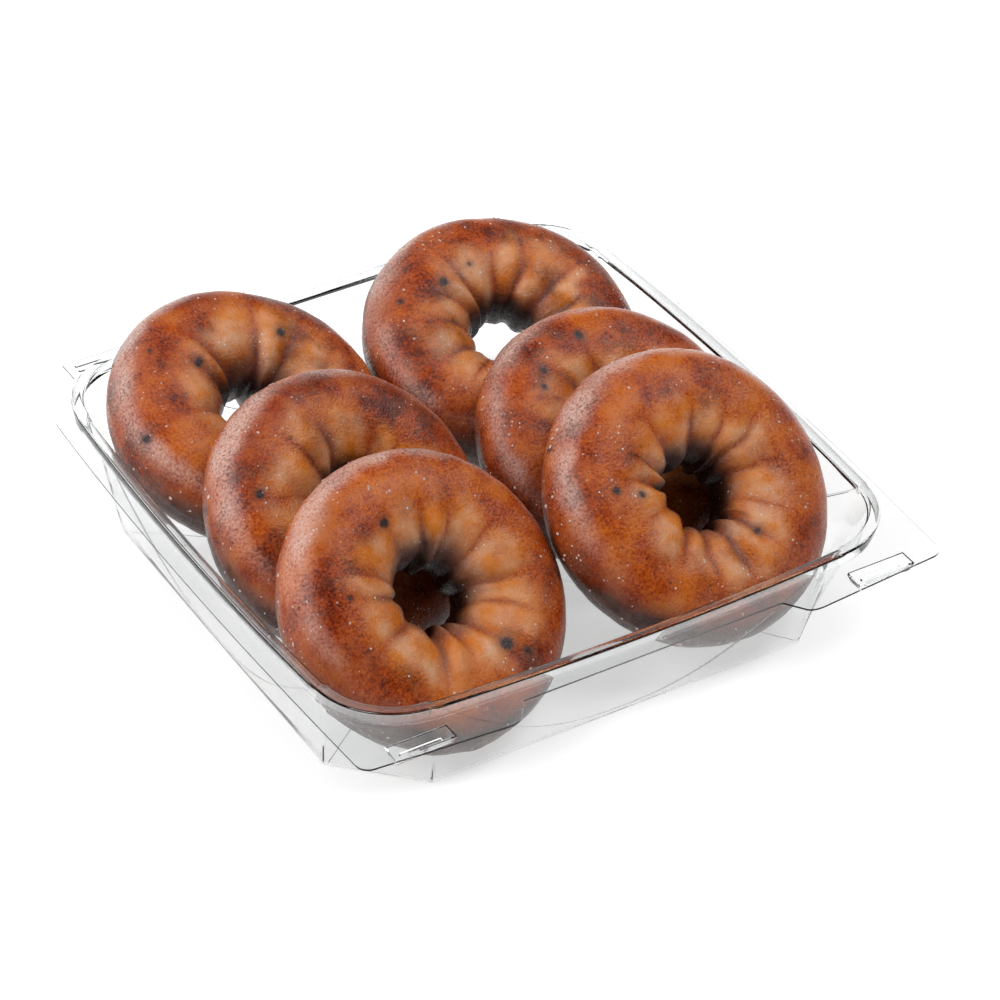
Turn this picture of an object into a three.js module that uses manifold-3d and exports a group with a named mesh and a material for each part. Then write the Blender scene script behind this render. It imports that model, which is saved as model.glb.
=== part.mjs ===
// An open clear PET bakery tray that holds six glazed cake doughnuts.
// Millimetres, +Z up. X runs along the tray's front edge, +Y points to its back (hinge strip) edge.
// The origin is at the centre of the tray's outline, on the surface that the tray stands on.
import * as THREE from "three";
import { mergeVertices } from "three/addons/utils/BufferGeometryUtils.js";
import Module from "manifold-3d";

const wasm = await Module();
wasm.setup();

// ---------------------------------------------------------------- tray sizes
const SHEET = 0.6; // thickness of the formed plastic sheet
const RIM_HEIGHT = 40; // top of the bead above the standing surface
const FLANGE_HEIGHT = 35; // underside of the flat flange
const HALF_WIDTH_BASE = 84.2;
const BASE_FRONT = -82.7;
const BASE_BACK = 87.5;
const BASE_CHAMFER = 22.8; // cut corner of the floor, measured along each side
const BASE_FILLET = 1.5; // small round between floor and wall
const FLOOR_DRAW = 0.8; // how far the floor's flat draws in between its corners, which the tray stands on
const HALF_WIDTH_RIM = 88.6;
const RIM_FRONT = -92.4;
const RIM_BACK = 97.5;
const RIM_CORNER = 22; // corner radius of the mouth
const SIDE_BOW = 2.2; // how far the middle of each rim side swells out
const SIDE_COLUMNS = 12;
const CORNER_COLUMNS = 5;

// The inverted-U bead that stiffens the mouth.
const BEAD_WIDTH = 3.8;
const BEAD_ROUND = 0.6;
const BEAD_DRAFT = 0.5; // its outer face leans out by this at its foot
const BEAD_UNDERSIDE = 1; // where its hollow underside starts, out from the wall's outer face
const LIP = 1.5; // strip of flange that the bead is formed with, inside the cut flange plate
const LIP_INSET = 0.05;

// Each wall has a panel that is pushed out above a smile-shaped crease.
const PANEL_PUSH = 0.8;
const PANEL_STEP = 0.5; // height over which the panel steps out
const CREASE_LOW = 4; // height of the crease in the middle of a wall
const CREASE_TOP = 38.2;
const CREASE_POWER = 2.3;

// ---------------------------------------------------------------- flange sizes
const FLANGE_FRONT = -100.6;
const FLANGE_HALF_FRONT = 95.6;
const FLANGE_HALF_BACK = 96.6;
const FLANGE_SWELL = 98.2; // half width at the middle of a side
const FLANGE_SIDE_END = 78.5; // where the side turns into the back corner
const FLANGE_BACK_CORNER = 22.5;
const TAB_ROOT = 42.5; // where a front lifting tab leaves the flange, from the middle
const TAB_INNER = 47.5;
const TAB_LEAN = 1; // how far the tab's inner end leans while it rounds into its front edge
const TAB_INNER_ROUND = 4;
const TAB_FRONT_INNER = -108.1;
const TAB_FRONT_OUTER = -105;
const TAB_CORNER = 5;
const STRIP_HALF = 81.5; // torn hinge strip along the back edge
const STRIP_BACK = 108.1;
const ARC_STEPS = 6;

// The snap button of each tab: a shallow pocket pressed down into it.
const BUTTON = { x: 75.6, y: -101.5, width: 20, depth: 6.4, drop: 2.6, draft: 1.2 };

// ---------------------------------------------------------------- doughnut sizes
const HOLE = 18.5; // narrowest width of a doughnut's hole
const HALF_THICKNESS = 15;
const SECTION_POWER = 2.3; // superellipse exponent of the ring's section
const SECTION_POINTS = 12;
const FLUTES = 14; // shallow creases that run out of the hole
const STEPS_PER_FLUTE = 3;
const FLUTE_DEPTH = 1.3;
const CRUST_COLOR = 0x87492a; // fried and glazed crust

// The six doughnuts: three rows that lean on each other like fallen books, in two columns.
// tilt turns a doughnut's top face towards the front, lean turns it towards the right.
const DOUGHNUTS = [
  { name: "front_left", diameter: 89, at: [-44.7, -48.1, 35.6], tilt: 41, lean: 12, spin: 10 },
  { name: "front_right", diameter: 90, at: [43.1, -48.7, 39.1], tilt: 41, lean: 8, spin: 130 },
  { name: "middle_left", diameter: 88, at: [-43.8, -1.2, 35.2], tilt: 39.5, lean: 12, spin: 75 },
  { name: "middle_right", diameter: 86, at: [45, -5.8, 31.8], tilt: 33.5, lean: 5.5, spin: 200 },
  { name: "back_left", diameter: 88, at: [-44.8, 56.1, 34.2], tilt: 23.7, lean: 11, spin: 300 },
  { name: "back_right", diameter: 88, at: [43, 55.4, 30.9], tilt: 25.4, lean: 2.3, spin: 250 },
];

// ---------------------------------------------------------------- helpers
const QUARTER_TURN = Math.PI / 2;
// How far the middle of a round stands in from the sharp corner's two faces, over its radius.
const ROUND_SHARE = 1 - Math.SQRT1_2;
const lerp = THREE.MathUtils.lerp;
const radians = THREE.MathUtils.degToRad;

// The unit vector at an angle in the XY plane.
function direction(angle) {
  return new THREE.Vector2(Math.cos(angle), Math.sin(angle));
}

// A closed mesh as a manifold-3d solid.
function toSolid(geometry) {
  const bare = new THREE.BufferGeometry();
  bare.setAttribute("position", geometry.getAttribute("position").clone());
  if (geometry.index) bare.setIndex(geometry.index.clone());
  const merged = mergeVertices(bare, 1e-4);
  return new wasm.Manifold(
    new wasm.Mesh({
      numProp: 3,
      vertProperties: merged.attributes.position.array,
      triVerts: new Uint32Array(merged.index.array),
    }),
  );
}

// A manifold-3d solid as a three.js geometry.
function toGeometry(solid) {
  const mesh = solid.getMesh();
  const geometry = new THREE.BufferGeometry();
  geometry.setAttribute("position", new THREE.BufferAttribute(new Float32Array(mesh.vertProperties), 3));
  geometry.setIndex(new THREE.BufferAttribute(new Uint32Array(mesh.triVerts), 1));
  geometry.computeVertexNormals();
  return geometry;
}

// A closed skin over rings of equal length, listed from the first cap to the last.
function skinOver(rings, firstCentre, lastCentre) {
  const count = rings[0].length;
  const positions = [...rings.flat(), firstCentre, lastCentre].flat();
  const first = rings.length * count;
  const last = first + 1;
  const top = first - count;
  const index = [];
  for (let column = 0; column < count; column += 1) {
    const next = (column + 1) % count;
    index.push(first, column, next);
    for (let ring = 0; ring < top; ring += count) {
      const a = ring + column;
      const b = ring + next;
      index.push(a, a + count, b, b, a + count, b + count);
    }
    index.push(top + column, last, top + next);
  }
  const geometry = new THREE.BufferGeometry();
  geometry.setAttribute("position", new THREE.Float32BufferAttribute(positions, 3));
  geometry.setIndex(index);
  return geometry;
}

// ---------------------------------------------------------------- tray columns
// The four corners of the tray, anticlockwise from the front right one: the two points between which
// the floor's corner is cut off, and the centre of the mouth's round corner.
function trayCorners() {
  return [0, 1, 2, 3].map((turn) => {
    const sideX = turn < 2 ? 1 : -1;
    const isFront = turn === 0 || turn === 3;
    const inward = isFront ? 1 : -1;
    const baseY = isFront ? BASE_FRONT : BASE_BACK;
    const rimY = isFront ? RIM_FRONT : RIM_BACK;
    const cut = [
      new THREE.Vector2(sideX * (HALF_WIDTH_BASE - BASE_CHAMFER), baseY),
      new THREE.Vector2(sideX * HALF_WIDTH_BASE, baseY + inward * BASE_CHAMFER),
    ];
    if (turn % 2 === 1) cut.reverse();
    return {
      baseStart: cut[0],
      baseEnd: cut[1],
      rimCentre: new THREE.Vector2(sideX * (HALF_WIDTH_RIM - RIM_CORNER), rimY + inward * RIM_CORNER),
      startAngle: (turn - 1) * QUARTER_TURN,
    };
  });
}

// The columns of a straight side, from the end of one corner to the start of the next. A column says
// where it stands on the floor's outline and on the mouth's outline, which way is out, how far the
// floor's flat draws in, how high the crease crosses it and how far it is pushed out above that.
function sideColumns(from, to) {
  const out = direction(to.startAngle);
  const rimFrom = from.rimCentre.clone().addScaledVector(out, RIM_CORNER);
  const rimTo = to.rimCentre.clone().addScaledVector(out, RIM_CORNER);
  const columns = [];
  for (let step = 0; step <= SIDE_COLUMNS; step += 1) {
    const along = step / SIDE_COLUMNS;
    const fromMiddle = Math.abs(2 * along - 1);
    const bow = SIDE_BOW * (1 - fromMiddle ** 2);
    columns.push({
      base: from.baseEnd.clone().lerp(to.baseStart, along),
      rim: rimFrom.clone().lerp(rimTo, along).addScaledVector(out, bow),
      outBase: out,
      outRim: out,
      draw: FLOOR_DRAW * (1 - fromMiddle ** 2),
      crease: lerp(CREASE_LOW, CREASE_TOP, fromMiddle ** CREASE_POWER),
      push: PANEL_PUSH,
    });
  }
  return columns;
}

// The columns inside a corner, which has no panel.
function cornerColumns(corner) {
  const outBase = direction(corner.startAngle + QUARTER_TURN / 2);
  const columns = [];
  for (let step = 1; step < CORNER_COLUMNS; step += 1) {
    const along = step / CORNER_COLUMNS;
    const outRim = direction(corner.startAngle + along * QUARTER_TURN);
    columns.push({
      base: corner.baseStart.clone().lerp(corner.baseEnd, along),
      rim: corner.rimCentre.clone().addScaledVector(outRim, RIM_CORNER),
      outBase,
      outRim,
      draw: FLOOR_DRAW * (1 - (2 * along - 1) ** 2),
      crease: CREASE_TOP,
      push: 0,
    });
  }
  return columns;
}

// All columns, anticlockwise from the front side's left end.
function trayColumns() {
  const corners = trayCorners();
  return corners.flatMap((corner, turn) => [
    ...sideColumns(corners.at(turn - 1), corner),
    ...cornerColumns(corner),
  ]);
}

const columns = trayColumns();

// A point of a column at a height, moved out of the wall's outer face by offset.
function wallPoint(column, height, offset, pushed) {
  const share = height / RIM_HEIGHT;
  const out = column.outBase.clone().lerp(column.outRim, share).normalize();
  const at = column.base.clone().lerp(column.rim, share);
  at.addScaledVector(out, offset + (pushed ? column.push : 0));
  return [at.x, at.y, height];
}

function ringAt(heightOf, offset, pushed) {
  return columns.map((column) => wallPoint(column, heightOf(column), offset, pushed));
}

// The outline of the floor's flat: the inside of the fillet, drawn in between the corners.
function floorRing(height, offset) {
  return columns.map((column) => wallPoint(column, height, offset - column.draw, false));
}

// The formed wall, floor and bead as one skin, from the middle of the floor's upper face
// up the inside, over the bead, round the lip and down the outside.
function trayShell() {
  const flat = (height) => () => height;
  const lowerMiddle = (column) => (BASE_FILLET + SHEET + column.crease) / 2;
  const belowCrease = (column) => column.crease - PANEL_STEP / 2;
  const aboveCrease = (column) => column.crease + PANEL_STEP / 2;
  const upperMiddle = (column) => (column.crease + RIM_HEIGHT) / 2;
  const filletShare = BASE_FILLET * ROUND_SHARE;
  const beadShare = BEAD_ROUND * ROUND_SHARE;
  const lipTop = FLANGE_HEIGHT + SHEET - LIP_INSET;
  const lipUnder = FLANGE_HEIGHT + LIP_INSET;
  const bead = BEAD_WIDTH - SHEET;
  const rings = [
    floorRing(SHEET, -SHEET - BASE_FILLET),
    ringAt(flat(SHEET + filletShare), -SHEET - filletShare, false),
    ringAt(flat(SHEET + BASE_FILLET), -SHEET, false),
    ringAt(lowerMiddle, -SHEET, false),
    ringAt(belowCrease, -SHEET, false),
    ringAt(aboveCrease, -SHEET, true),
    ringAt(upperMiddle, -SHEET, true),
    ringAt(flat(RIM_HEIGHT - beadShare), beadShare - SHEET, true),
    ringAt(flat(RIM_HEIGHT), BEAD_ROUND - SHEET, true),
    ringAt(flat(RIM_HEIGHT), bead - BEAD_ROUND, false),
    ringAt(flat(RIM_HEIGHT - BEAD_ROUND), bead, false),
    ringAt(flat(lipTop), bead + BEAD_DRAFT, false),
    ringAt(flat(lipTop), bead + LIP, false),
    ringAt(flat(lipUnder), bead + LIP, false),
    ringAt(flat(lipUnder), bead + BEAD_DRAFT - SHEET, false),
    ringAt(flat(RIM_HEIGHT - SHEET), bead - SHEET, false),
    ringAt(flat(RIM_HEIGHT - SHEET), BEAD_UNDERSIDE, false),
    ringAt(upperMiddle, 0, true),
    ringAt(aboveCrease, 0, true),
    ringAt(belowCrease, 0, false),
    ringAt(lowerMiddle, 0, false),
    ringAt(flat(BASE_FILLET), 0, false),
    ringAt(flat(filletShare), -filletShare, false),
    floorRing(0, -BASE_FILLET),
  ];
  const middle = (BASE_FRONT + BASE_BACK) / 2;
  return toSolid(skinOver(rings, [0, middle, SHEET], [0, middle, 0]));
}

// ---------------------------------------------------------------- flange plate
// The die-cut outline: narrow flange, two lifting tabs at the front corners, hinge strip at the back.
function flangeShape() {
  const right = new THREE.Path();
  right.moveTo(0, FLANGE_FRONT);
  right.lineTo(TAB_ROOT, FLANGE_FRONT);
  right.lineTo(TAB_INNER - TAB_LEAN, TAB_FRONT_INNER + TAB_INNER_ROUND / 2);
  right.quadraticCurveTo(TAB_INNER, TAB_FRONT_INNER, TAB_INNER + TAB_INNER_ROUND, TAB_FRONT_INNER);
  right.lineTo(FLANGE_HALF_FRONT - TAB_CORNER, TAB_FRONT_OUTER);
  right.quadraticCurveTo(FLANGE_HALF_FRONT, TAB_FRONT_OUTER, FLANGE_HALF_FRONT, TAB_FRONT_OUTER + TAB_CORNER);
  right.quadraticCurveTo(2 * FLANGE_SWELL - FLANGE_HALF_FRONT, 0, FLANGE_HALF_BACK, FLANGE_SIDE_END);
  const cornerX = FLANGE_HALF_BACK - FLANGE_BACK_CORNER;
  const cornerEnd = Math.acos((STRIP_HALF - cornerX) / FLANGE_BACK_CORNER);
  right.absarc(cornerX, FLANGE_SIDE_END, FLANGE_BACK_CORNER, 0, cornerEnd);
  right.lineTo(STRIP_HALF, STRIP_BACK);
  right.lineTo(0, STRIP_BACK);
  const half = right.getPoints(ARC_STEPS);
  const mirrored = half.slice(1, -1).map((point) => new THREE.Vector2(-point.x, point.y));
  return new THREE.Shape([...half, ...mirrored.reverse()]);
}

// The plate around the lip. Its hole lies inside the lip, so that the two become one sheet.
function flangePlate() {
  const shape = flangeShape();
  const inside = BEAD_WIDTH - SHEET + (LIP + BEAD_DRAFT) / 2;
  const hole = ringAt(() => FLANGE_HEIGHT, inside, false).map(([x, y]) => new THREE.Vector2(x, y));
  shape.holes.push(new THREE.Path(hole));
  const geometry = new THREE.ExtrudeGeometry(shape, { depth: SHEET, bevelEnabled: false });
  geometry.translate(0, 0, FLANGE_HEIGHT);
  return toSolid(geometry);
}

// A block that narrows downwards, for the snap button on one side: inset makes its pocket.
function buttonBlock(side, inset, top, bottom) {
  const x = side * BUTTON.x;
  const rectangle = (shrink, height) => {
    const halfWidth = BUTTON.width / 2 - inset - shrink;
    const halfDepth = BUTTON.depth / 2 - inset - shrink;
    return [
      [x - halfWidth, BUTTON.y - halfDepth, height],
      [x + halfWidth, BUTTON.y - halfDepth, height],
      [x + halfWidth, BUTTON.y + halfDepth, height],
      [x - halfWidth, BUTTON.y + halfDepth, height],
    ];
  };
  const rings = [rectangle(0, top), rectangle(BUTTON.draft, bottom)];
  return toSolid(skinOver(rings, [x, BUTTON.y, top], [x, BUTTON.y, bottom]));
}

// The whole tray, in clear PET that has a faint grey tint at its edges.
function makeTray() {
  const plateTop = FLANGE_HEIGHT + SHEET;
  const buttonFloor = FLANGE_HEIGHT - BUTTON.drop;
  let solid = trayShell().add(flangePlate());
  for (const side of [-1, 1]) {
    const outer = buttonBlock(side, 0, plateTop - LIP_INSET, buttonFloor);
    const pocket = buttonBlock(side, SHEET, plateTop + LIP_INSET, buttonFloor + SHEET);
    solid = solid.add(outer).subtract(pocket);
  }
  const clearPet = new THREE.MeshStandardMaterial({
    color: 0xeef2f3,
    roughness: 0.08,
    metalness: 0,
    transparent: true,
    opacity: 0.35,
  });
  const mesh = new THREE.Mesh(toGeometry(solid), clearPet);
  mesh.name = "tray";
  return mesh;
}

// ---------------------------------------------------------------- doughnuts
// The closed section of the ring, a superellipse.
function ringSection(ringRadius, halfWidth) {
  const rounded = (value) => Math.sign(value) * Math.abs(value) ** (2 / SECTION_POWER);
  const section = [];
  for (let step = 0; step <= SECTION_POINTS; step += 1) {
    const angle = ((step % SECTION_POINTS) / SECTION_POINTS) * 2 * Math.PI;
    const across = ringRadius + halfWidth * rounded(Math.cos(angle));
    section.push(new THREE.Vector2(across, HALF_THICKNESS * rounded(Math.sin(angle))));
  }
  return section;
}

// The section lathed about Z. Its inner half has flutes: there the section shrinks towards its middle.
function doughnutGeometry(diameter) {
  const ringRadius = (diameter + HOLE) / 4;
  const halfWidth = (diameter - HOLE) / 4;
  const geometry = new THREE.LatheGeometry(ringSection(ringRadius, halfWidth), FLUTES * STEPS_PER_FLUTE);
  geometry.rotateX(QUARTER_TURN);
  const position = geometry.getAttribute("position");
  for (let i = 0; i < position.count; i += 1) {
    const at = new THREE.Vector2(position.getX(i), position.getY(i));
    const radius = at.length();
    const inward = THREE.MathUtils.clamp((ringRadius - radius) / halfWidth, 0, 1);
    const crease = ((1 + Math.cos(FLUTES * at.angle())) / 2) ** 2;
    const shrink = 1 - (FLUTE_DEPTH * inward * crease) / halfWidth;
    at.setLength(lerp(ringRadius, radius, shrink));
    position.setXYZ(i, at.x, at.y, position.getZ(i) * shrink);
  }
  return geometry;
}

function makeDoughnut({ name, diameter, at, tilt, lean, spin }) {
  const glazedCrust = new THREE.MeshStandardMaterial({ color: CRUST_COLOR, roughness: 0.35, metalness: 0 });
  const mesh = new THREE.Mesh(doughnutGeometry(diameter), glazedCrust);
  mesh.name = `doughnut_${name}`;
  mesh.position.set(...at);
  mesh.rotation.set(radians(tilt), radians(lean), radians(spin), "YXZ");
  return mesh;
}

const boxOfDoughnuts = new THREE.Group();
boxOfDoughnuts.add(makeTray());
for (const doughnut of DOUGHNUTS) boxOfDoughnuts.add(makeDoughnut(doughnut));

export default boxOfDoughnuts;
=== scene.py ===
"""Looks of an open clear plastic bakery tray that holds six glazed berry cake doughnuts.

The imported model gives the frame: where the tray stands, and where each ring lies and how it leans.
Lengths are in millimetres until a mesh is made. X runs along the tray's front, Y to its back, Z up.
"""

import logging
import math
from dataclasses import dataclass, field
from enum import Enum

import bmesh
import bpy
import numpy as np
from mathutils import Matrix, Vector


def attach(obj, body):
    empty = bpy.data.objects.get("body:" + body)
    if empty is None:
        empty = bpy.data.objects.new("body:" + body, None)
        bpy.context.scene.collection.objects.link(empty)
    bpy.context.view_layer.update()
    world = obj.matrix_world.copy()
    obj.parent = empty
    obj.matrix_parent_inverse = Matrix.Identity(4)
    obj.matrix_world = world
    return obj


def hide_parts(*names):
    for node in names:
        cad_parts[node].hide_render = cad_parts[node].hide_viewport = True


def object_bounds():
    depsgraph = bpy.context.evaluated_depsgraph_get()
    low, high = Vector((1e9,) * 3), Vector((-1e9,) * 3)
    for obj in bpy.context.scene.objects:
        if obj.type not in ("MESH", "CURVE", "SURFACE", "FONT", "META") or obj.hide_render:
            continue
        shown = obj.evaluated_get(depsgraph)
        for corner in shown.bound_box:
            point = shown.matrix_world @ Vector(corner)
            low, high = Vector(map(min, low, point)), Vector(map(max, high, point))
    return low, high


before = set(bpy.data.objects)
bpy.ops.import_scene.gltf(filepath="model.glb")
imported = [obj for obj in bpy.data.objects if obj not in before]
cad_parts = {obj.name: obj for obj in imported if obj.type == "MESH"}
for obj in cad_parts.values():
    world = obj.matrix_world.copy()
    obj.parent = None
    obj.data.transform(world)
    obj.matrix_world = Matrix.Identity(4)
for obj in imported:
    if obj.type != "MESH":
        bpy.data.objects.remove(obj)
cad_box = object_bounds()

Array = np.ndarray
MM = 0.001
BODY = "root"
LOG = logging.getLogger("box_of_doughnuts")


# ------------------------------------------------------------------------------------ small helpers
class Mask(Enum):
    """The surface masks that a ring's mesh carries for its finish."""

    GROOVE = "groove"
    LOBE = "lobe"
    SHOULDER = "shoulder"
    # Dried glaze on the upper outer edge, partly a painted sheen.
    EDGE = "edge"
    # Painted shade: darker where the ring faces down.
    UNDERSIDE_SHADE = "painted_underside_shade"
    # Painted shade down the hole's wall.
    HOLE_SHADE = "deep"
    BERRY = "berry"
    BROWNING = "browning"


class Slot(Enum):
    """Names of the tray's and the doughnuts' finishes; nothing in this script uses them."""

    CLEAR_PET = "clear_pet"
    GLAZED_CRUST = "glazed_crust"


def linear(hex_colour: str) -> tuple[float, float, float, float]:
    """Turn an sRGB colour into the linear values that shaders take.

    Args:
        hex_colour: Six hex digits after a hash.

    Returns:
        Linear red, green and blue, and an alpha of one.
    """
    values = [int(hex_colour[i : i + 2], 16) / 255 for i in (1, 3, 5)]
    rgb = [v / 12.92 if v <= 0.04045 else ((v + 0.055) / 1.055) ** 2.4 for v in values]
    return (*rgb, 1.0)


def add_node(
    tree: bpy.types.NodeTree, kind: str, settings: dict | None = None, **inputs: object
) -> bpy.types.Node:
    """Add a node with its settings and inputs.

    Args:
        tree: The node tree to add to.
        kind: The node's Blender type.
        settings: Values of the node's own properties.
        **inputs: Input values or output sockets to link, by input name with underscores for spaces,
            or i0, i1 and so on for inputs that share a name.

    Returns:
        The new node.
    """
    node = tree.nodes.new(kind)
    for name, value in (settings or {}).items():
        setattr(node, name, value)
    for name, value in inputs.items():
        is_index = name[0] == "i" and name[1:].isdigit()
        socket = node.inputs[int(name[1:])] if is_index else node.inputs[name.replace("_", " ")]
        if isinstance(value, bpy.types.NodeSocket):
            tree.links.new(value, socket)
        else:
            socket.default_value = value
    return node


def new_material(
    name: str,
) -> tuple[bpy.types.Material, bpy.types.NodeTree, bpy.types.Node, bpy.types.Node]:
    """Make a material with a Principled shader and object coordinates in millimetres.

    Args:
        name: The material's name.

    Returns:
        The material, its tree, its shader and the node that gives the coordinates.
    """
    material = bpy.data.materials.new(name)
    material.use_nodes = True
    tree = material.node_tree
    tree.nodes.clear()
    shader = add_node(tree, "ShaderNodeBsdfPrincipled")
    add_node(tree, "ShaderNodeOutputMaterial", None, Surface=shader.outputs["BSDF"])
    places = add_node(tree, "ShaderNodeTexCoord")
    in_mm = add_node(
        tree, "ShaderNodeVectorMath", {"operation": "SCALE"},
        Vector=places.outputs["Object"], Scale=1 / MM,
    )
    return material, tree, shader, in_mm


def mesh_object(name: str, points: Array, faces: list) -> bpy.types.Object:
    """Make an object from points in millimetres.

    Args:
        name: The object's name.
        points: One row for each vertex.
        faces: Vertex numbers of each face.

    Returns:
        The object, linked to the scene.
    """
    mesh = bpy.data.meshes.new(name)
    mesh.from_pydata((np.asarray(points) * MM).tolist(), [], faces)
    mesh.update()
    made = bpy.data.objects.new(name, mesh)
    bpy.context.scene.collection.objects.link(made)
    return made


def grid_faces(rows: int, columns: int, close_rows: bool) -> list[tuple[int, int, int, int]]:
    """List the quads of a grid whose columns close on themselves.

    Args:
        rows: How many rings of points there are.
        columns: How many points each ring has.
        close_rows: Whether the last ring joins the first.

    Returns:
        The vertex numbers of each quad.
    """
    quads = []
    for row in range(rows if close_rows else rows - 1):
        below = row * columns
        above = ((row + 1) % rows) * columns
        for column in range(columns):
            after = (column + 1) % columns
            quads.append((below + column, below + after, above + after, above + column))
    return quads


def set_mask(piece: bpy.types.Object, mask: Mask, values: Array) -> None:
    """Store a mask on a piece's vertices."""
    layer = piece.data.attributes.new(mask.value, "FLOAT", "POINT")
    layer.data.foreach_set("value", np.ascontiguousarray(values, np.float32).ravel())


def smooth_step(low: float, high: float, values: Array) -> Array:
    """Rise smoothly from 0 at low to 1 at high."""
    share = np.clip((values - low) / (high - low), 0, 1)
    return share * share * (3 - 2 * share)


def direction(azimuth_deg: float, elevation_deg: float) -> Vector:
    """Give the way from the model towards a camera or a light.

    Args:
        azimuth_deg: Turn about Z, zero in front of the model and growing to its right.
        elevation_deg: Rise above the floor.

    Returns:
        A unit vector.
    """
    turn, rise = math.radians(azimuth_deg), math.radians(elevation_deg)
    return Vector(
        (math.sin(turn) * math.cos(rise), -math.cos(turn) * math.cos(rise), math.sin(rise))
    )


class LatticeNoise:
    """Smooth random values on a lattice that repeats, the same for the same seed."""

    def __init__(self, seed: int, cells: int = 32) -> None:
        """Fill the lattice."""
        self.cells = cells
        self.values = np.random.default_rng(seed).uniform(-1, 1, (cells, cells, cells))

    def at(self, points: Array, size: float) -> Array:
        """Read the noise.

        Args:
            points: One row for each place, in millimetres.
            size: Width of a lump, in millimetres.

        Returns:
            A value from -1 to 1 for each place.
        """
        scaled = points / size
        corner = np.floor(scaled).astype(int)
        share = scaled - corner
        share = share * share * (3 - 2 * share)
        total = np.zeros(len(points))
        for step in np.ndindex(2, 2, 2):
            near = np.where(np.array(step) == 1, share, 1 - share).prod(axis=1)
            index = (corner + np.array(step)) % self.cells
            total += near * self.values[index[:, 0], index[:, 1], index[:, 2]]
        return total


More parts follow.
